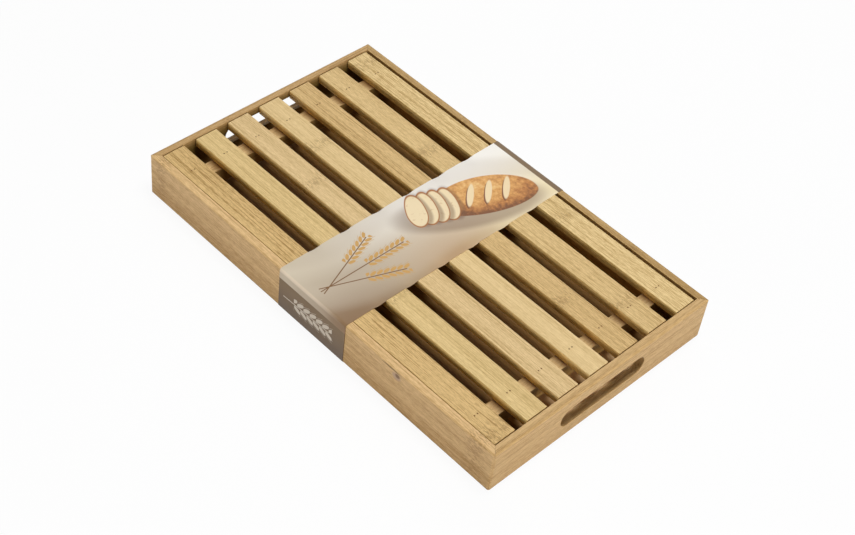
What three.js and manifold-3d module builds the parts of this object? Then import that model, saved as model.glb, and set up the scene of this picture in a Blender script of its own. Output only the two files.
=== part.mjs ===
// A slatted bread board: a shallow bamboo tray that catches the crumbs, and a grille of
// bamboo slats that sits flush in it and lifts out to empty the tray.
// Millimetres. X runs along the board, +X to the right end; -Y is the front; +Z is up.
// The origin is on the table, under the middle of the tray.
import * as THREE from "three";
import { mergeVertices } from "three/addons/utils/BufferGeometryUtils.js";
import Module from "manifold-3d";

const wasm = await Module();
wasm.setup();

// Tray
const trayLength = 380;
const trayWidth = 230;
const trayHeight = 39;
const railThickness = 6.7;
const cornerRadius = 2;        // upright outer corners of the frame
const rimRadius = 1.8;         // outer top edge of the rails
const railEase = 0.3;          // every other long edge of the rails
const glueLine = 0.2;          // between the two faces of a mitred corner

// Floor panel, held in a groove all round
const floorThickness = 4;
const floorRecess = 2;         // underside of the panel above the table
const grooveDepth = 3;
const expansionGap = 0.5;      // between the panel's edge and the groove's bottom
const floorCornerRadius = 1;

// Hand slots in the end rails
const slotLength = 90;
const slotHeight = 17.2;
const slotRimRadius = 0.5;     // both rims of a slot are rounded over
const rightSlotMiddle = 19.6;  // height of the slot's middle in the right end rail
const leftSlotMiddle = 22.9;   // the left rail's slot was cut higher

// Strips inside the long rails, which carry the ends of the battens
const stripWidth = 8;
const stripEase = 0.6;
const stripEndGap = 0.5;       // to the end rails

// Grille
const slatCount = 7;
const slatWidth = 20.2;
const slatThickness = 7.4;
const slatEase = 0.5;
const slatEndGap = 0.8;        // play between the slats and the end rails
const battenWidth = 12.6;
const battenHeight = 15;
const battenEase = 0.6;
const endEase = 0.3;           // end edges of slats, battens and support strips
const battenInset = 27.3;      // middle of a batten to the inner face of its end rail
const grilleFrontGap = 0.4;    // the grille lies close to the front rail
const grilleBackGap = 2.8;     // and has its play at the back rail

// Pins that nail each slat to each batten, two side by side
const pinRadius = 0.45;
const pinLength = 19;
const pinPoint = 2;            // length of the tapered point
const pinSpacing = 3;
const pinRowOffset = 1.7;      // middle of a pair in front of its slat's middle line
const pinSink = 0.3;           // head below the slat's face
const pinFit = 0.06;           // radial play in the pilot hole

// Worked out from the sizes above
const innerLength = trayLength - 2 * railThickness;
const innerWidth = trayWidth - 2 * railThickness;
const floorTop = floorRecess + floorThickness;
const slatLength = innerLength - 2 * slatEndGap;
const grilleWidth = innerWidth - grilleFrontGap - grilleBackGap;
const slatPitch = (grilleWidth - slatWidth) / (slatCount - 1);
const slatUnderside = trayHeight - slatThickness;
const battenUnderside = slatUnderside - battenHeight;
const grilleFront = -innerWidth / 2 + grilleFrontGap;
const battenOffset = innerLength / 2 - battenInset;

// How finely round forms are divided, and how far a cut runs past what it cuts
const edgeSegments = 4;
const slotSegments = 18;
const rimFacets = 3;
const pinSides = 8;
const overrun = 5;

// Turns that lay an extrusion, drawn in its own XY and grown along its own Z, in the part's frame.
const axisX = new THREE.Vector3(1, 0, 0);
const axisY = new THREE.Vector3(0, 1, 0);
const axisZ = new THREE.Vector3(0, 0, 1);
const alongX = new THREE.Matrix4().makeBasis(axisY, axisZ, axisX);
const towardsFront = new THREE.Matrix4().makeBasis(axisX, axisZ, axisY.clone().negate());
const towardsBack = new THREE.Matrix4().makeBasis(axisX.clone().negate(), axisZ, axisY);

function material(name, color, roughness, metalness = 0) {
  return new THREE.MeshStandardMaterial({ name, color, roughness, metalness });
}

const railBamboo = () => material("bamboo_rail", 0xcda776, 0.55);
const slatBamboo = () => material("bamboo_slat", 0xdcc08d, 0.5);
const floorBamboo = () => material("bamboo_floor", 0xb98f5c, 0.6);
const pinSteel = () => material("steel_pin", 0x5b4c3c, 0.45, 0.7);

// Boolean work: a geometry becomes a solid, is cut or joined, and comes back as a geometry.
function solid(geometry) {
  const bare = geometry.clone();
  for (const attribute of ["normal", "uv"]) bare.deleteAttribute(attribute);
  const merged = mergeVertices(bare);
  return new wasm.Manifold(new wasm.Mesh({
    numProp: 3,
    vertProperties: new Float32Array(merged.attributes.position.array),
    triVerts: new Uint32Array(merged.index.array),
  }));
}

function geometryOf(body) {
  const mesh = body.getMesh();
  const geometry = new THREE.BufferGeometry();
  geometry.setAttribute("position", new THREE.BufferAttribute(mesh.vertProperties, mesh.numProp));
  geometry.setIndex(new THREE.BufferAttribute(mesh.triVerts, 1));
  const flat = geometry.toNonIndexed();
  flat.computeVertexNormals();
  return flat;
}

function cut(geometry, cutters) {
  const body = cutters.reduce((rest, cutter) => rest.subtract(solid(cutter)), solid(geometry));
  return geometryOf(body);
}

function place(mesh, x, y, z, turn = 0) {
  mesh.position.set(x, y, z);
  mesh.rotation.z = turn;
  return mesh;
}

function named(name, geometry, finish) {
  const mesh = new THREE.Mesh(geometry, finish);
  mesh.name = name;
  return mesh;
}

// A rectangle standing on its own X axis, centred on its own Y axis, with eased corners.
function easedRectangle(width, height, radius) {
  const shape = new THREE.Shape();
  const right = width / 2 - radius;
  const top = height - radius;
  shape.absarc(right, radius, radius, -Math.PI / 2, 0);
  shape.absarc(right, top, radius, 0, Math.PI / 2);
  shape.absarc(-right, top, radius, Math.PI / 2, Math.PI);
  shape.absarc(-right, radius, radius, Math.PI, Math.PI * 3 / 2);
  return shape;
}

// A bar of that section with eased ends, centred along its length.
function bar(width, height, length, radius, turn) {
  const straight = length - 2 * endEase;
  const options = {
    depth: straight,
    bevelThickness: endEase,
    bevelSize: endEase,
    bevelOffset: -endEase,
    bevelSegments: 1,
    curveSegments: edgeSegments,
  };
  const geometry = new THREE.ExtrudeGeometry(easedRectangle(width, height, radius), options);
  return geometry.translate(0, 0, -straight / 2).applyMatrix4(turn);
}

// Section of a rail: outer face at 0, inner face at railThickness, with the groove for the floor.
function railSection() {
  const shape = new THREE.Shape();
  const inner = railThickness - railEase;
  const grooveEnd = railThickness - grooveDepth;
  shape.absarc(inner, railEase, railEase, -Math.PI / 2, 0);
  shape.lineTo(railThickness, floorRecess);
  shape.lineTo(grooveEnd, floorRecess);
  shape.lineTo(grooveEnd, floorTop);
  shape.lineTo(railThickness, floorTop);
  shape.absarc(inner, trayHeight - railEase, railEase, 0, Math.PI / 2);
  shape.absarc(rimRadius, trayHeight - rimRadius, rimRadius, Math.PI / 2, Math.PI);
  shape.absarc(railEase, railEase, railEase, Math.PI, Math.PI * 3 / 2);
  return shape;
}

// Plan of a rail: mitred at both ends, with its share of the frame's rounded upright corners.
function railPlan(length) {
  const setBack = glueLine / Math.SQRT2;
  const halfOuter = length / 2 - setBack;
  const halfInner = halfOuter - railThickness;
  const mitre = new THREE.Shape();
  mitre.moveTo(-halfOuter - overrun, -overrun);
  mitre.lineTo(halfOuter + overrun, -overrun);
  mitre.lineTo(halfInner - overrun, railThickness + overrun);
  mitre.lineTo(-halfInner + overrun, railThickness + overrun);
  const footprint = new THREE.Shape();
  const corner = length / 2 - cornerRadius;
  footprint.absarc(corner, cornerRadius, cornerRadius, -Math.PI / 2, 0);
  footprint.lineTo(length / 2, railThickness + overrun);
  footprint.lineTo(-length / 2, railThickness + overrun);
  footprint.absarc(-corner, cornerRadius, cornerRadius, Math.PI, Math.PI * 3 / 2);
  const options = { depth: trayHeight + 2 * overrun, bevelEnabled: false, curveSegments: edgeSegments };
  const [mitred, rounded] = [mitre, footprint].map((shape) => {
    return solid(new THREE.ExtrudeGeometry(shape, options).translate(0, 0, -overrun));
  });
  return mitred.intersect(rounded);
}

// A rail along X, its outer face at y = 0 and its middle at x = 0.
function railGeometry(length) {
  const options = { depth: length, bevelEnabled: false, curveSegments: edgeSegments };
  const stock = new THREE.ExtrudeGeometry(railSection(), options);
  stock.translate(0, 0, -length / 2).applyMatrix4(alongX);
  return geometryOf(solid(stock).intersect(railPlan(length)));
}

// The cutters of a hand slot: the slot itself, and on each face a few flared plates whose flanks
// touch one quarter circle, so that together they round the rim over.
function slotCutters(middle) {
  const radius = slotHeight / 2;
  const straight = slotLength / 2 - radius;
  const outline = new THREE.Shape();
  outline.absarc(straight, middle, radius, -Math.PI / 2, Math.PI / 2);
  outline.absarc(-straight, middle, radius, Math.PI / 2, Math.PI * 3 / 2);
  const through = { depth: railThickness + 2 * overrun, bevelEnabled: false, curveSegments: slotSegments };
  const slot = new THREE.ExtrudeGeometry(outline, through).applyMatrix4(towardsFront);
  slot.translate(0, railThickness + overrun, 0);
  const cutters = [slot];
  for (let facet = 1; facet <= rimFacets; facet += 1) {
    const angle = (facet / (rimFacets + 1)) * (Math.PI / 2);
    const reach = slotRimRadius * (Math.cos(angle) + Math.sin(angle) - 1);
    const rim = {
      depth: overrun,
      bevelThickness: reach / Math.cos(angle),
      bevelSize: reach / Math.sin(angle),
      bevelSegments: 1,
      curveSegments: slotSegments,
    };
    cutters.push(new THREE.ExtrudeGeometry(outline, rim).applyMatrix4(towardsFront));
    const inner = new THREE.ExtrudeGeometry(outline, rim).applyMatrix4(towardsBack);
    cutters.push(inner.translate(0, railThickness, 0));
  }
  return cutters;
}

function trayFloor() {
  const spare = 2 * (grooveDepth - expansionGap);
  const panel = easedRectangle(innerLength + spare, innerWidth + spare, floorCornerRadius);
  const options = { depth: floorThickness, bevelEnabled: false, curveSegments: edgeSegments };
  const geometry = new THREE.ExtrudeGeometry(panel, options);
  geometry.translate(0, -(innerWidth + spare) / 2, floorRecess);
  return named("tray_floor", geometry, floorBamboo());
}

function buildTray() {
  const tray = new THREE.Group();
  const endRail = railGeometry(trayWidth);
  const rightEnd = cut(endRail, slotCutters(rightSlotMiddle));
  const leftEnd = cut(endRail, slotCutters(leftSlotMiddle));
  tray.add(place(named("rail_front", railGeometry(trayLength), railBamboo()), 0, -trayWidth / 2, 0));
  tray.add(place(named("rail_back", railGeometry(trayLength), railBamboo()), 0, trayWidth / 2, 0, Math.PI));
  tray.add(place(named("end_rail_right", rightEnd, railBamboo()), trayLength / 2, 0, 0, Math.PI / 2));
  tray.add(place(named("end_rail_left", leftEnd, railBamboo()), -trayLength / 2, 0, 0, -Math.PI / 2));
  tray.add(trayFloor());

  const stripHeight = battenUnderside - floorTop;
  const stripLength = innerLength - 2 * stripEndGap;
  const stripMiddle = (innerWidth - stripWidth) / 2;
  for (const [side, y] of [["front", -stripMiddle], ["back", stripMiddle]]) {
    const strip = bar(stripWidth, stripHeight, stripLength, stripEase, alongX);
    tray.add(place(named(`support_strip_${side}`, strip, railBamboo()), 0, y, floorTop));
  }
  return tray;
}

// A round rod along Z with a tapered point at z = 0: a pin, or the drill for its pilot hole.
function pointedRod(radius, length) {
  const profile = [
    new THREE.Vector2(0, 0),
    new THREE.Vector2(radius, pinPoint),
    new THREE.Vector2(radius, length),
    new THREE.Vector2(0, length),
  ];
  return new THREE.LatheGeometry(profile, pinSides).rotateX(Math.PI / 2);
}

// The grille's own frame: front edge of the first slat at y = 0, undersides of the slats at z = 0.
function pinPlaces() {
  const places = [];
  for (let slat = 0; slat < slatCount; slat += 1) {
    const pairMiddle = slat * slatPitch + slatWidth / 2 - pinRowOffset;
    for (const [batten, x] of [["left", -battenOffset], ["right", battenOffset]]) {
      for (const [row, y] of [["a", pairMiddle - pinSpacing / 2], ["b", pairMiddle + pinSpacing / 2]]) {
        places.push({ slat, batten, x, y, name: `pin_${slat + 1}_${batten}_${row}` });
      }
    }
  }
  return places;
}

function buildGrille() {
  const grille = new THREE.Group();
  const pins = pinPlaces();
  const pinBottom = slatThickness - pinSink - pinLength;
  const drill = pointedRod(pinRadius + pinFit, pinLength + pinFit + overrun).translate(0, 0, -pinFit);
  const pilot = (pin, x, y, z) => drill.clone().translate(pin.x - x, pin.y - y, pinBottom - z);

  for (let slat = 0; slat < slatCount; slat += 1) {
    const y = slat * slatPitch + slatWidth / 2;
    const own = pins.filter((pin) => pin.slat === slat);
    const stock = bar(slatWidth, slatThickness, slatLength, slatEase, alongX);
    const drilled = cut(stock, own.map((pin) => pilot(pin, 0, y, 0)));
    grille.add(place(named(`slat_${slat + 1}`, drilled, slatBamboo()), 0, y, 0));
  }
  for (const [side, x] of [["left", -battenOffset], ["right", battenOffset]]) {
    const own = pins.filter((pin) => pin.batten === side);
    const stock = bar(battenWidth, battenHeight, grilleWidth, battenEase, towardsFront);
    const drilled = cut(stock, own.map((pin) => pilot(pin, x, grilleWidth / 2, -battenHeight)));
    grille.add(place(named(`batten_${side}`, drilled, slatBamboo()), x, grilleWidth / 2, -battenHeight));
  }
  for (const pin of pins) {
    const rod = pointedRod(pinRadius, pinLength);
    grille.add(place(named(pin.name, rod, pinSteel()), pin.x, pin.y, pinBottom));
  }
  grille.position.set(0, grilleFront, slatUnderside);
  return grille;
}

const board = new THREE.Group();
board.name = "bread_board";
board.add(buildTray(), buildGrille());

export default board;
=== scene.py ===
import math

import bpy
from mathutils import Matrix, Vector


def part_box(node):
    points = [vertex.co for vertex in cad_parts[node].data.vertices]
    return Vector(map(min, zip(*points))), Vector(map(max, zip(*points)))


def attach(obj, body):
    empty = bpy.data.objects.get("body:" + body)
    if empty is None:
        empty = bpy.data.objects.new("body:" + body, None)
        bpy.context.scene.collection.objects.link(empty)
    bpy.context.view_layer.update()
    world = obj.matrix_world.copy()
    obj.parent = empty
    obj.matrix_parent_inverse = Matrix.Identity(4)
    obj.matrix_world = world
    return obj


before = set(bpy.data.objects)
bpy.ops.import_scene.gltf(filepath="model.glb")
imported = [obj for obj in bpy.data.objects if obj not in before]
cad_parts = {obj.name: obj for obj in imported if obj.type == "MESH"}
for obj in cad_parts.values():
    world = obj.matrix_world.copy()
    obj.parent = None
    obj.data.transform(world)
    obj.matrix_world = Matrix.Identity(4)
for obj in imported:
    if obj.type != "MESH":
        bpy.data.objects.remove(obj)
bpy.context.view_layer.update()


# Camera
# It stands where the photographer stood: in front of the right end, about 1.3 m from the board
# and above it, a little rolled to the left. The distances are from the middle of the tray.
camera_data = bpy.data.cameras.new("camera")
camera_data.sensor_width = 36
camera_data.lens = 69.55
camera = bpy.data.objects.new("camera", camera_data)
bpy.context.scene.collection.objects.link(camera)
camera_right = Vector((0.68825619, 0.71899869, 0.09666592))
camera_up = Vector((-0.56637541, 0.44926707, 0.69092546))
camera_back = Vector((0.45334568, -0.53028293, 0.71643402))
camera_turn = Matrix((camera_right, camera_up, camera_back)).transposed().to_4x4()
camera.matrix_world = Matrix.Translation((0.59081482, -0.68051865, 0.9196626)) @ camera_turn
bpy.context.scene.camera = camera


# Slats
# Seven bamboo slats, planed and oiled. Each is cut from another cane, so each has its own tone,
# its own fine grain along its length, and the mottled joints of the cane at its own places.
MM = 0.001


class Wire:
    """An output socket. Arithmetic on wires adds Math nodes, and node() adds any other node."""

    def __init__(self, tree, socket=None):
        self.tree = tree
        self.socket = socket

    def node(self, kind, settings=None, inputs=None, output=0):
        new = self.tree.nodes.new("ShaderNode" + kind)
        for name, value in (settings or {}).items():
            if name == "stops":
                self.set_stops(new.color_ramp, value)
            else:
                setattr(new, name, value)
        for name, value in (inputs or {}).items():
            if isinstance(value, Wire):
                self.tree.links.new(value.socket, new.inputs[name])
            else:
                new.inputs[name].default_value = value
        return Wire(self.tree, new.outputs[output])

    def set_stops(self, ramp, stops):
        while len(ramp.elements) < len(stops):
            ramp.elements.new(0.5)
        for element, (place, colour) in zip(ramp.elements, stops):
            element.position = place
            element.color = colour

    def math(self, operation, *values):
        return self.node("Math", {"operation": operation}, dict(enumerate(values)))

    def __add__(self, other):
        return self.math("ADD", self, other)

    def __radd__(self, other):
        return self.math("ADD", other, self)

    def __sub__(self, other):
        return self.math("SUBTRACT", self, other)

    def __rsub__(self, other):
        return self.math("SUBTRACT", other, self)

    def __mul__(self, other):
        return self.math("MULTIPLY", self, other)

    def __truediv__(self, other):
        return self.math("DIVIDE", self, other)

    def __abs__(self):
        return self.math("ABSOLUTE", self)

    def steps(self, low, high):
        """0 below low and 1 above high, with a smooth rise between them."""
        settings = {"interpolation_type": "SMOOTHSTEP"}
        return self.node("MapRange", settings, {"Value": self, "From Min": low, "From Max": high})

    def mixed(self, first, second):
        """first where this wire is 0 and second where it is 1, as colours."""
        settings = {"data_type": "RGBA", "clamp_factor": True}
        return self.node("Mix", settings, {0: self, 6: first, 7: second}, output=2)


def tint(red, green, blue):
    """A colour off a paint chart, 0 to 255, in the linear numbers that a shader takes."""
    parts = [((part / 255 + 0.055) / 1.055) ** 2.4 for part in (red, green, blue)]
    return (*parts, 1.0)


def new_finish(name):
    """A material with an empty tree but for its shader and output, and where it reads its place."""
    finish = bpy.data.materials.new(name)
    finish.use_nodes = True
    shader = finish.node_tree.nodes["Principled BSDF"]
    place = Wire(finish.node_tree).node("TexCoord", output=3)
    return finish, shader, place


def join(shader, name, wire):
    wire.tree.links.new(wire.socket, shader.inputs[name])


def split(place):
    """Three wires, in millimetres, from a place in metres."""
    return [place.node("SeparateXYZ", None, {0: place}, output) * 1000 for output in range(3)]


def fibres(place, seed, along, across, stretch, detail=2.0):
    """Noise drawn out along the grain: across and stretch are the size of one streak in metres."""
    shares = {"X": (1 / stretch, 1 / across, 1 / across),
              "Y": (1 / across, 1 / stretch, 1 / across)}
    mapping = {"Vector": place, "Location": seed, "Scale": shares[along]}
    scaled = place.node("Mapping", None, mapping)
    inputs = {"Vector": scaled, "Scale": 1.0, "Detail": detail, "Roughness": 0.6}
    return scaled.node("TexNoise", None, inputs)


pale_share = (1.09, 1.10, 1.11)
deep_share = (0.82, 0.76, 0.62)
joint_share = (0.70, 0.63, 0.50)
rail_height = 39
joint_span = 360
# The colour of the painted shade on the tops of the battens, against each slat.
gap_shade_colour = tint(100, 60, 16)
low_gloss = 0.25


def bamboo(name, along, seed, tone, joints=(), roughness=0.46, grain=1.0, side_light_and_shade=(), foot=0.0,
           stains_and_painted_light=(), strips=0, gap_shade=()):
    """Planed bamboo of one tone, its grain along X or Y. joints are where the cane had its joints,
    in mm, grain is how strongly the grain shows, flank is the share of the tone that upright faces
    have, painted light on some pieces and painted shade on others, for how the light falls between
    them, and foot is how much deeper the tone is at the table, which is painted shade. stains are
    spots, each a middle and a reach in x, y, z and a colour: some real marks, some painted light
    and some painted shade. strips is the width, in mm, of the strips that a wide board is glued up
    from, each with its joint. pools is for the top of a piece that others lie across: its height,
    the start and the width of the first gap between them, and how far it is to the next, in mm. It
    paints shade there, darkest at the far side of each gap, against the next piece."""
    finish, shader, place = new_finish(name)
    offset = (seed * 7.31, seed * 3.17, seed * 5.03)
    x, y, z = split(place)
    length = x if along == "X" else y

    band = fibres(place, offset, along, 0.006, 0.6, detail=1.0).steps(0.3, 0.7)
    figure = fibres(place, offset, along, 0.012, 2.2, detail=0.0) * 30
    fade = fibres(place, offset, along, 0.004, 0.07).steps(0.38, 0.62)
    line = (abs(figure.math("FRACT", figure) - 0.5) * 2).steps(0.76, 0.96) * fade
    streak = fibres(place, offset, along, 0.0009, 0.15).steps(0.5, 0.62)
    dash = fibres(place, offset, along, 0.0006, 0.006).steps(0.44, 0.56)
    marks = line * 0.6 + streak * 0.34 + dash * 0.36
    shade = (band * 0.24 + marks - 0.42) * grain + 0.32
    # Painted shade: the tone deepens towards the table.
    if foot:
        shade = shade + (1 - z / rail_height) * foot
    if strips:
        strip = y / strips
        strip_number = strip.math("FLOOR", strip) + seed
        chance = strip.node("TexWhiteNoise", {"noise_dimensions": "1D"}, {"W": strip_number})
        seam = (abs(strip.math("FRACT", strip) - 0.5) * 2).steps(0.96, 0.99)
        shade = shade + (chance - 0.5) * 0.6 + seam * 0.35
        joints = [(chance * 7).math("FRACT", chance * 7) * joint_span - joint_span / 2]
    pale, deep, dark = (tint(*(min(255, part * share) for part, share in zip(tone, shares)))
                        for shares in (pale_share, deep_share, joint_share))
    colour = shade.mixed(pale, deep)
    # Painted light and shade: upright faces take a share of the tone, for how the light falls
    # between the pieces.
    if side_light_and_shade:
        facing = place.node("SeparateXYZ", None, {0: place.node("TexCoord", output=1)}, 2)
        upright = 1 - abs(facing).steps(0.2, 0.8)
        multiply = {"data_type": "RGBA", "blend_type": "MULTIPLY"}
        side_light_inputs = {0: upright, 6: colour, 7: tint(*(255 * share for share in side_light_and_shade))}
        colour = colour.node("Mix", multiply, side_light_inputs, output=2)

    speckle = fibres(place, offset, along, 0.0011, 0.0034).steps(0.46, 0.58)
    wander = (fibres(place, offset, along, 0.003, 0.01) - 0.5) * 14
    for joint in joints:
        near = 1 - abs(length + wander - joint).steps(1.0, 9.0)
        colour = (near * speckle * 0.5).mixed(colour, dark)
    # Spots: some real marks, some painted light and some painted shade.
    for middle, reach, spot_colour in stains_and_painted_light:
        shares = [(part - at) / far for part, at, far in zip((x, y, z), middle, reach)]
        inside = 1 - sum(share * share for share in shares).steps(0.3, 1.3)
        colour = (inside * 0.8).mixed(colour, spot_colour)
    # Painted shade on a top, darkest at the far side of each gap, against the next piece.
    if gap_shade:
        top, first, wide, pitch = gap_shade
        into_gap = (y - first).math("FLOORED_MODULO", y - first, pitch)
        shaded_in_gap = into_gap.steps(wide * 0.25, wide * 1.08) * z.steps(top - 0.4, top - 0.1)
        colour = (shaded_in_gap * 0.95).mixed(colour, gap_shade_colour)
    join(shader, "Base Color", colour)
    join(shader, "Roughness", roughness + streak * 0.08 + dash * 0.05)
    height = 1 - (streak * 0.4 + dash * 0.35 + line * 0.6)
    bump = height.node("Bump", None, {"Height": height, "Strength": 0.2, "Distance": 0.15 * MM})
    join(shader, "Normal", bump)
    shader.inputs["Specular IOR Level"].default_value = low_gloss
    return finish


pin_stain = tint(126, 84, 32)
pin_stain_reach = (0.85, 0.85, 20)
slat_tones = ((204, 171, 115), (215, 187, 131), (214, 185, 135), (220, 192, 140),
              (203, 171, 117), (210, 180, 126), (218, 190, 136))
slat_joints = ((178, 171, -12), (40,), (-88,), (-120,), (120,), (-60, 150), (-170, 60))
slat_grains = (1.5, 0.75, 0.8, 0.55, 1.1, 1.0, 1.3)
# Painted light: the slats' upright faces are lighter than their tops, for how the light falls in
# the gaps.
slat_side_light = (1.07, 1.06, 0.98)
for number, (tone, joints, grain) in enumerate(zip(slat_tones, slat_joints, slat_grains), start=1):
    pin_places = [sum(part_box(f"pin_{number}_{pin}"), Vector()) / 2 / MM
                  for pin in ("left_a", "left_b", "right_a", "right_b")]
    stains_and_painted_light = [(tuple(middle), pin_stain_reach, pin_stain) for middle in pin_places]
    finish = bamboo(f"slat_bamboo_{number}", "X", number, tone, joints,
                    grain=grain, side_light_and_shade=slat_side_light, stains_and_painted_light=stains_and_painted_light)
    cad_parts[f"slat_{number}"].material_slots[0].material = finish


# Battens
# Two bamboo battens on edge under the slats, one near each end. Their grain runs across the board.
# Their sides are darker, as painted shade, and their tops have painted shade against each slat.
batten_tone = (212, 180, 128)
# Painted shade: the battens' upright faces are darker than their tops.
batten_side_shade = (0.64, 0.59, 0.49)
batten_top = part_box("batten_left")[1].z / MM
gap_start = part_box("slat_1")[1].y / MM
gap_end, next_gap = (corner.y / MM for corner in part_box("slat_2"))
# Painted shade on the batten tops, against each slat.
batten_gap_shade = (batten_top, gap_start, gap_end - gap_start, next_gap - gap_start)
for number, side in enumerate(("left", "right"), start=8):
    finish = bamboo(f"batten_bamboo_{side}", "Y", number, batten_tone, (30 * number,),
                    side_light_and_shade=batten_side_shade, gap_shade=batten_gap_shade)
    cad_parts[f"batten_{side}"].material_slots[0].material = finish


# Rails
# Four bamboo rails, glued in mitred corners. The front one is as pale as the slats, with a small
# knot near its top edge, and a thin painted shade along that edge beside the knot. The others are
# browner. All of them are darker towards the table as painted shade, the front one's upright faces
# carry a little painted shade, and the left one's inner face is darker still as painted shade.
# Each rail: its grain direction, tone, joints, grain, and foot, the painted shade towards the
# table.
rails = {
    "rail_front": ("X", (216, 181, 130), (-176, 20, 169, 176), 0.9, 0.4),
    "rail_back": ("X", (178, 145, 93), (-70, 118), 1.0, 0.2),
    "end_rail_right": ("Y", (196, 162, 112), (), 0.8, 0.35),
    "end_rail_left": ("Y", (188, 153, 103), (-40,), 0.8, 0.2),
}
# Painted shade on the front rail's upright faces.
front_side_shade = (0.93, 0.92, 0.91)
knot = [
    ((92.8, -115, 32.8), (4.8, 4, 3.6), tint(176, 146, 122)),
    ((93.8, -115, 33.8), (2.6, 4, 2.1), tint(114, 82, 54)),
    # A thin painted shade along the top edge beside the knot.
    ((87.5, -115, 36.9), (10, 4, 0.7), tint(104, 76, 28)),
]
# Painted shade on the left end rail's inner face.
inner_face_shade = [((-183.3, 0, 22), (3, 400, 15.5), tint(108, 84, 28))]
for number, (node, (along, tone, joints, grain, foot)) in enumerate(rails.items(), start=11):
    stains_and_painted_light = {"rail_front": knot, "end_rail_left": inner_face_shade}.get(node, ())
    side_light_and_shade = front_side_shade if node == "rail_front" else ()
    finish = bamboo(node + "_bamboo", along, number, tone, joints,
                    grain=grain, side_light_and_shade=side_light_and_shade, foot=foot, stains_and_painted_light=stains_and_painted_light)
    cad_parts[node].material_slots[0].material = finish


# Glue lines
# The dried glue in the four mitred corners of the tray. It fills each joint nearly to its edges,
# and stands clear of the floor's corners, which lie loose in their grooves.
corner_x, corner_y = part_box("end_rail_right")[1].x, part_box("rail_back")[1].y
glue_clearance = 0.2 * MM
over_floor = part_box("tray_floor")[1].z + glue_clearance
glue_thickness = 0.16 * MM
glue_edge = 0.68 * MM
glue_top = 38.5 * MM
glue_foot = 0.3 * MM
upper_reach, lower_reach = 6.4 * MM, 4.1 * MM
glue_sizes = ((upper_reach, over_floor, glue_top), (lower_reach, glue_foot, over_floor))
bpy.ops.object.select_all(action="DESELECT")
plates = []
for side_x, side_y in ((1, 1), (1, -1), (-1, 1), (-1, -1)):
    for reach, low, high in glue_sizes:
        inward = (glue_edge + reach) / 2
        place = (side_x * (corner_x - inward), side_y * (corner_y - inward), (low + high) / 2)
        bpy.ops.mesh.primitive_cube_add(size=1, location=place)
        plate = bpy.context.object
        plate.rotation_euler.z = side_x * side_y * math.radians(45)
        plate.scale = ((reach - glue_edge) * math.sqrt(2), glue_thickness, high - low)
        plates.append(plate)
for plate in plates:
    plate.select_set(True)
bpy.ops.object.join()
glue = bpy.context.object
glue.name = "glue_lines"
bpy.ops.object.transform_apply(location=True, rotation=True, scale=True)
glue_finish, glue_shader, _ = new_finish("dried_glue")
glue_shader.inputs["Base Color"].default_value = tint(172, 138, 94)
glue_shader.inputs["Roughness"].default_value = 0.5
glue.data.materials.append(glue_finish)
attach(glue, "tray")


# Tray floor
# A thin board, glued up from bamboo strips, that slides into grooves in the rails before the last
# rail is glued on. The ends of its strips are painted paler at the right hand slot: painted light
# that falls through the slot.
floor_tone = (141, 105, 55)
sawn_roughness = 0.55
strip_width = 21
# Painted light that falls through the right hand slot onto the floor's strip ends.
slot_light = [((174, 0, 6), (26, 62, 20), tint(230, 195, 146))]
floor_finish = bamboo("floor_bamboo", "X", 21, floor_tone, roughness=sawn_roughness,
                      stains_and_painted_light=slot_light, strips=strip_width)
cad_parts["tray_floor"].material_slots[0].material = floor_finish


# Support strips
# Two plain bamboo strips, glued inside the long rails. The ends of the battens rest on them. They
# are sawn from pale cane, and their ends are darker, which is painted shade near the end rails.
strip_tone = (208, 176, 126)
# Painted shade at the ends of the strips, near the end rails.
strip_end_shade = [((end, 0, 0), (46, 400, 60), tint(84, 52, 20)) for end in (-184, 184)]
for number, side in enumerate(("front", "back"), start=23):
    finish = bamboo(f"strip_bamboo_{side}", "X", number, strip_tone,
                    roughness=sawn_roughness, stains_and_painted_light=strip_end_shade)
    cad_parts[f"support_strip_{side}"].material_slots[0].material = finish


# Pins
# Thin steel pins, two at each crossing of a slat and a batten, sunk just below the face. The damp
# bamboo has tarnished them brown.
pin_finish, pin_shader, pin_place = new_finish("pin_steel")
tarnish = pin_place.node("TexNoise", None, {"Vector": pin_place, "Scale": 900.0, "Detail": 2.0})
join(pin_shader, "Base Color", tarnish.steps(0.4, 0.7).mixed(tint(116, 76, 36), tint(82, 50, 22)))
join(pin_shader, "Roughness", 0.55 + tarnish * 0.3)
pin_shader.inputs["Specular IOR Level"].default_value = low_gloss
for name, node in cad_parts.items():
    if name.startswith("pin_"):
        node.material_slots[0].material = pin_finish


# Card band
# A band of thin coated card, folded round the board and glued into a loop, as it is sold. It is
# printed with a loaf and ears of wheat. It bears on the slats and sags a little where they part.
rail_low, rail_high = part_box("rail_front")[0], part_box("rail_back")[1]
slat_low = [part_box(f"slat_{number}")[0] for number in range(1, 8)]
slat_high = [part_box(f"slat_{number}")[1] for number in range(1, 8)]
band_left = -33.5 * MM
band_width = 72.5 * MM
band_play = 0.05 * MM
card = 0.35 * MM
fold_top = 1.9 * MM
fold_bottom = 0.6 * MM
cuts_across, cuts_along = 15, 111
sag_reach = 8.5 * MM
edge_sags = ((band_left, 1.2 * MM), (band_left + band_width, 1.1 * MM))
band_size = (band_width, rail_high.y - rail_low.y + 2 * band_play,
             rail_high.z - rail_low.z + 2 * band_play)
band_middle = (band_left + band_width / 2, 0, (rail_high.z + rail_low.z) / 2)


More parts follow.
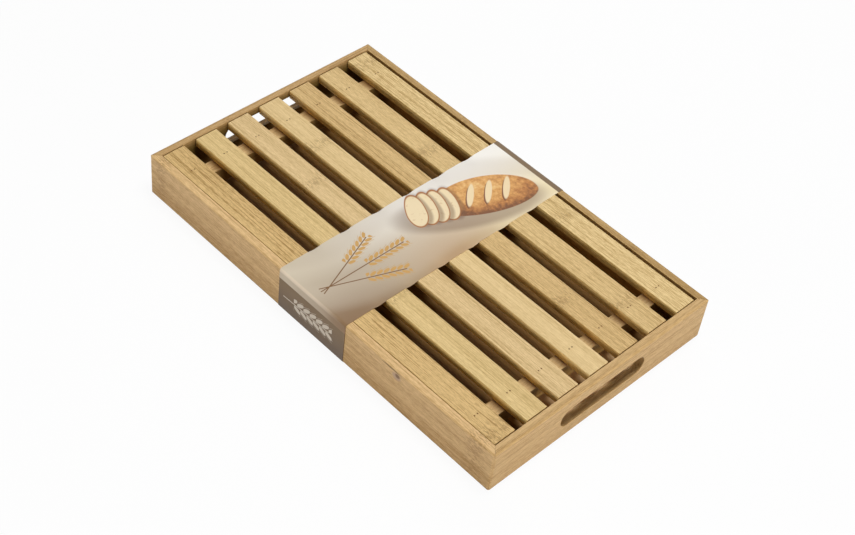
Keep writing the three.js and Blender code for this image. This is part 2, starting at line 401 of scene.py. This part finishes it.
def pick(piece, kind, test):
    """Selects in edit mode just the vertices, edges or faces of a kind that pass a test."""
    bpy.ops.object.mode_set(mode="EDIT")
    bpy.ops.mesh.select_mode(type={"vertices": "VERT", "edges": "EDGE", "polygons": "FACE"}[kind])
    bpy.ops.mesh.select_all(action="DESELECT")
    bpy.ops.object.mode_set(mode="OBJECT")
    for part in getattr(piece.data, kind):
        part.select = test(part)
    bpy.ops.object.mode_set(mode="EDIT")


bpy.ops.object.select_all(action="DESELECT")
bpy.ops.mesh.primitive_cube_add(size=1, location=band_middle)
band = bpy.context.object
band.name = "card_band"
band.scale = band_size
bpy.ops.object.transform_apply(location=True, rotation=False, scale=True)
pick(band, "polygons", lambda face: abs(face.normal.x) > 0.9)
bpy.ops.mesh.delete(type="ONLY_FACE")


def runs_along(axis, low_z=-1.0, high_z=1.0):
    """A test for edges that run along one axis and lie between two heights."""
    def test(edge):
        first, second = (band.data.vertices[index].co for index in edge.vertices)
        straight = abs((second - first).normalized()[axis]) > 0.99
        return straight and low_z < (first.z + second.z) / 2 < high_z
    return test


pick(band, "edges", runs_along(0, low_z=band_middle[2]))
bpy.ops.mesh.bevel(offset=fold_top, segments=4, affect="EDGES")
pick(band, "edges", runs_along(0, high_z=band_middle[2]))
bpy.ops.mesh.bevel(offset=fold_bottom, segments=3, affect="EDGES")
pick(band, "edges", runs_along(0))
bpy.ops.mesh.subdivide(number_cuts=cuts_across)
pick(band, "edges", runs_along(1, low_z=band_middle[2]))
bpy.ops.mesh.subdivide(number_cuts=cuts_along)
for before, after in zip(slat_high[:-1], slat_low[1:]):
    middle = (before.y + after.y) / 2
    for edge, depth in edge_sags:
        pick(band, "vertices", lambda point: point.co.z > 0.99 * band_size[2] - band_play
             and abs(point.co.y - middle) < 1.2 * MM and abs(point.co.x - edge) < 1 * MM)
        bpy.ops.transform.translate(value=(0, 0, -depth), use_proportional_edit=True,
                                    proportional_edit_falloff="SMOOTH", proportional_size=sag_reach)
bpy.ops.object.mode_set(mode="OBJECT")
thickness = band.modifiers.new("card", "SOLIDIFY")
thickness.thickness = card
thickness.offset = 1
bpy.ops.object.modifier_apply(modifier=thickness.name)
bpy.ops.object.shade_smooth_by_angle(angle=math.radians(40))


def turned(x, y, middle, angle):
    """Two wires: how far a place lies along, and across, a line through middle at that angle."""
    cos, sin = math.cos(angle), math.sin(angle)
    from_x, from_y = x - middle[0], y - middle[1]
    return from_x * cos + from_y * sin, from_y * cos - from_x * sin


def oval(along, across, half_length, half_width):
    """The square of the distance from the middle, with 1 on the edge of an oval."""
    long, wide = along / half_length, across / half_width
    return long * long + wide * wide


def wheat(x, y, foot, angle, stalk, length, step):
    """Two wires, 1 where an ear of wheat is printed: its bearded grains, and its stalk. The grains
    start at stalk past foot, go on for length, and lie step apart, all in mm."""
    along, across = turned(x, y, foot, math.radians(angle))
    along = along - stalk
    beside = abs(across)
    shifted = along + across.math("GREATER_THAN", across, 0) * (step / 2)
    cell = shifted.math("FLOORED_MODULO", shifted, step) - step / 2
    grain = oval(*turned(cell, beside, (0, step * 0.5), 0.5), step * 0.66, step * 0.27)
    reach = along.steps(-0.4, 0) * (1 - along.steps(length - 0.4, length))
    grains = (1 - grain.steps(0.75, 1.15)) * reach
    beard = turned(cell, beside, (0, step * 0.95), 0.4)[1]
    bearded = along.steps(step * 0.6, step * 0.9) * (1 - along.steps(length, length + 2))
    beards = (1 - abs(beard).steps(0.05, 0.3)) * bearded
    stalked = along.steps(-stalk - 8.5, -stalk - 8) * (1 - along.steps(length - 4, length - 3))
    stem = (1 - beside.steps(0.3, 0.6)) * stalked
    return grains.math("MAXIMUM", grains, beards * 0.75), stem


band_finish, band_shader, band_place = new_finish("printed_card")
x, y, z = split(band_place)
from_left = (x - band_left / MM) / (band_width / MM)
left_side = (y / 110).steps(-1.0, 0.35).mixed(tint(216, 203, 180), tint(250, 246, 238))
right_side = (y / 110).steps(-1.0, 1.0).mixed(tint(138, 109, 78), tint(242, 224, 182))
paper = from_left.steps(0.0, 1.0).mixed(left_side, right_side)
warmth = from_left.steps(0.2, 1.0) * (1 - abs(y / 70).steps(0.0, 1.0))
paper = (warmth * 0.75).mixed(paper, tint(180, 142, 102))
swing = (y * 0.021 + 0.4).math("SINE", y * 0.021 + 0.4) * 1.3
silk = (x * 0.062 - y * 0.02 + swing).math("SINE", x * 0.062 - y * 0.02 + swing)
paper = (silk.steps(0.35, 1.0) * 0.2).mixed(paper, tint(240, 228, 208))
paper = ((0 - silk).steps(0.4, 1.0) * 0.18).mixed(paper, tint(150, 124, 98))

loaf_size = 1.2
loaf_along, loaf_across = (part / loaf_size for part in turned(x, y, (8, 60), math.radians(69)))
lying = loaf_across.steps(-6, 6) * 6 + 14
loaf_edge = oval(loaf_along, loaf_across, 37, lying)
cast_edge = oval(loaf_along + 14, loaf_across + 5, 58, 20)
paper = ((1 - cast_edge.steps(0.55, 1.1)) * 0.6).mixed(paper, tint(128, 100, 78))
crumb = band_place.node("TexNoise", None, {"Vector": band_place, "Scale": 320.0, "Detail": 4.0})
blush = 0.52 + loaf_across * 0.016 - loaf_edge * 0.34 + (crumb - 0.5) * 0.8
crust_stops = ((0.05, tint(122, 74, 38)), (0.3, tint(184, 122, 64)),
               (0.55, tint(222, 166, 96)), (0.8, tint(243, 206, 142)))
crust = blush.node("ValToRGB", {"stops": crust_stops}, {"Fac": blush})
inside_loaf = 1 - loaf_edge.steps(0.96, 1.02)
paper = inside_loaf.mixed(paper, crust)
cut_cell = (loaf_along + 3).math("FLOORED_MODULO", loaf_along + 3, 13) - 6.5
in_cuts = inside_loaf * loaf_along.steps(-16.2, -16) * (1 - loaf_along.steps(22.8, 23))
for drop, colour in ((-1.6, tint(122, 74, 42)), (0.0, tint(243, 219, 176))):
    cut_along, cut_across = turned(cut_cell, loaf_across - 5, (drop, drop), 1.1)
    cut = (1 - oval(cut_along, cut_across, 11, 2.3).steps(0.75, 1.2)) * in_cuts
    paper = cut.mixed(paper, colour)

pores = (crumb.steps(0.58, 0.7) * 0.45).mixed(tint(242, 221, 180), tint(206, 170, 120))
for place_along in (-27, -34.5, -42, -49.5):
    slice_along, slice_across = turned(loaf_along, loaf_across, (place_along, -0.5), -0.12)
    slice_edge = oval(slice_along, slice_across, 7.2, lying * 0.92)
    shadow_edge = oval(loaf_along - place_along - 2.6, loaf_across + 0.5, 7.8, lying)
    paper = ((1 - shadow_edge.steps(0.6, 1.1)) * 0.55).mixed(paper, tint(104, 66, 40))
    paper = (1 - slice_edge.steps(0.94, 1.04)).mixed(paper, tint(168, 108, 56))
    paper = (1 - slice_edge.steps(0.74, 0.88)).mixed(paper, pores)

for angle, stalk, length in ((69, 30, 35), (111, 28, 35), (90, 38, 40)):
    grains, stem = wheat(x, y, (3, -99), angle, stalk, length, 5.4)
    paper = stem.mixed(paper, tint(122, 86, 50))
    paper = grains.mixed(paper, tint(203, 158, 90))

# The side of the band, printed taupe, with painted shade towards the table.
taupe_with_foot_shade = (z / 30).steps(0.0, 1.0).mixed(tint(94, 73, 50), tint(123, 100, 72))
side_grains, side_stalk = wheat(x, z, (-20, 15), 3, 4, 42, 7)
front = y.math("LESS_THAN", y, 0)
side_mark = side_grains.math("MAXIMUM", side_grains, side_stalk) * front
taupe_with_foot_shade = (side_mark * 0.8).mixed(taupe_with_foot_shade, tint(214, 202, 184))
wrapped = z.steps(30.1, 30.5) * (1 - y.steps(109.3, 109.6))
# Darker below the top of the band: on its front fold, and as painted shade in the sags between the
# slats.
edge_tone_and_sag_shade = (1 - z.steps(36.5, 38.8)) * 0.25
paper = edge_tone_and_sag_shade.mixed(paper, tint(150, 124, 98))
# A painted highlight along the upper front fold, on its left part.
fold_highlight = z.steps(36.0, 37.5) * (1 - y.steps(-114.6, -113.6)) * (1 - from_left.steps(0.4, 1.0))
paper = (fold_highlight * 0.5).mixed(paper, tint(246, 226, 200))
join(band_shader, "Base Color", wrapped.mixed(taupe_with_foot_shade, paper))
ripple = band_place.node("TexNoise", None, {"Vector": band_place, "Scale": 60.0, "Detail": 2.0})
join(band_shader, "Roughness", 0.38 + ripple * 0.12)
band_shader.inputs["Specular IOR Level"].default_value = low_gloss
band_bump = ripple.node("Bump", None, {"Height": ripple, "Strength": 0.25, "Distance": 0.6 * MM})
join(band_shader, "Normal", band_bump)
band.data.materials.append(band_finish)
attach(band, "tray")


# Table
# A plain white surface that the board stands on, a little under it to leave room for the card. It
# is white wherever the camera sees it, and it still takes the board's soft shadow.
table_size = 12
room_for_card = 0.5 * MM
table_glow = 0.93
bpy.ops.object.select_all(action="DESELECT")
bpy.ops.mesh.primitive_plane_add(size=table_size, location=(0, 0, -room_for_card))
table = bpy.context.object
table.name = "table"
table_finish, table_shader, table_place = new_finish("table_white")
table_shader.inputs["Base Color"].default_value = (0.9, 0.9, 0.9, 1)
table_shader.inputs["Roughness"].default_value = 0.7


def rays_that_show_it(start):
    """1 for rays from the camera, off gloss and through glass, which find a white background."""
    rays = [start.node("LightPath", output=output) for output in (0, 3, 6)]
    return rays[0].math("MAXIMUM", rays[0].math("MAXIMUM", rays[0], rays[1]), rays[2])


glow = table_place.node("Emission", None, {"Color": (1, 1, 1, 1), "Strength": 1.0})
lit = Wire(table_finish.node_tree, table_shader.outputs[0])
glow_share = rays_that_show_it(table_place) * table_glow
shown = table_place.node("MixShader", None, {0: glow_share, 1: lit, 2: glow})
output = table_finish.node_tree.nodes["Material Output"]
table_finish.node_tree.links.new(shown.socket, output.inputs["Surface"])
table.data.materials.append(table_finish)


# Light
# A dim white room with four soft lamps: one above the board, one behind it, and two low ones for
# its front and its right end, which don't show in gloss or reach far down between the slats.
world = bpy.data.worlds.new("room")
world.use_nodes = True
background = world.node_tree.nodes["Background"]
background.inputs["Color"].default_value = (1, 1, 1, 1)
room = 0.03
join(background, "Strength", room + rays_that_show_it(Wire(world.node_tree)) * (1 - room))
bpy.context.scene.world = world


def soft_lamp(name, place, size, power, mirrored=True):
    """A round lamp, aimed at the middle of the board. place and size are in metres."""
    data = bpy.data.lights.new(name, "AREA")
    data.shape = "DISK"
    data.size = size
    data.energy = power
    lamp = bpy.data.objects.new(name, data)
    lamp.visible_glossy = mirrored
    bpy.context.scene.collection.objects.link(lamp)
    aim = (-Vector(place)).to_track_quat("-Z", "Y").to_matrix().to_4x4()
    lamp.matrix_world = Matrix.Translation(place) @ aim


soft_lamp("lamp_above", (0.2, 0.12, 1.6), 0.6, 16.1)
soft_lamp("lamp_behind", (-0.7, 0.9, 1.13), 1.2, 6)
soft_lamp("lamp_front", (0, -1.55, 0.36), 0.45, 8.6, mirrored=False)
soft_lamp("lamp_right", (1.565, 0, 0.22), 0.4, 10.5, mirrored=False)
bpy.context.scene.view_settings.view_transform = "Standard"

bpy.context.view_layer.update()
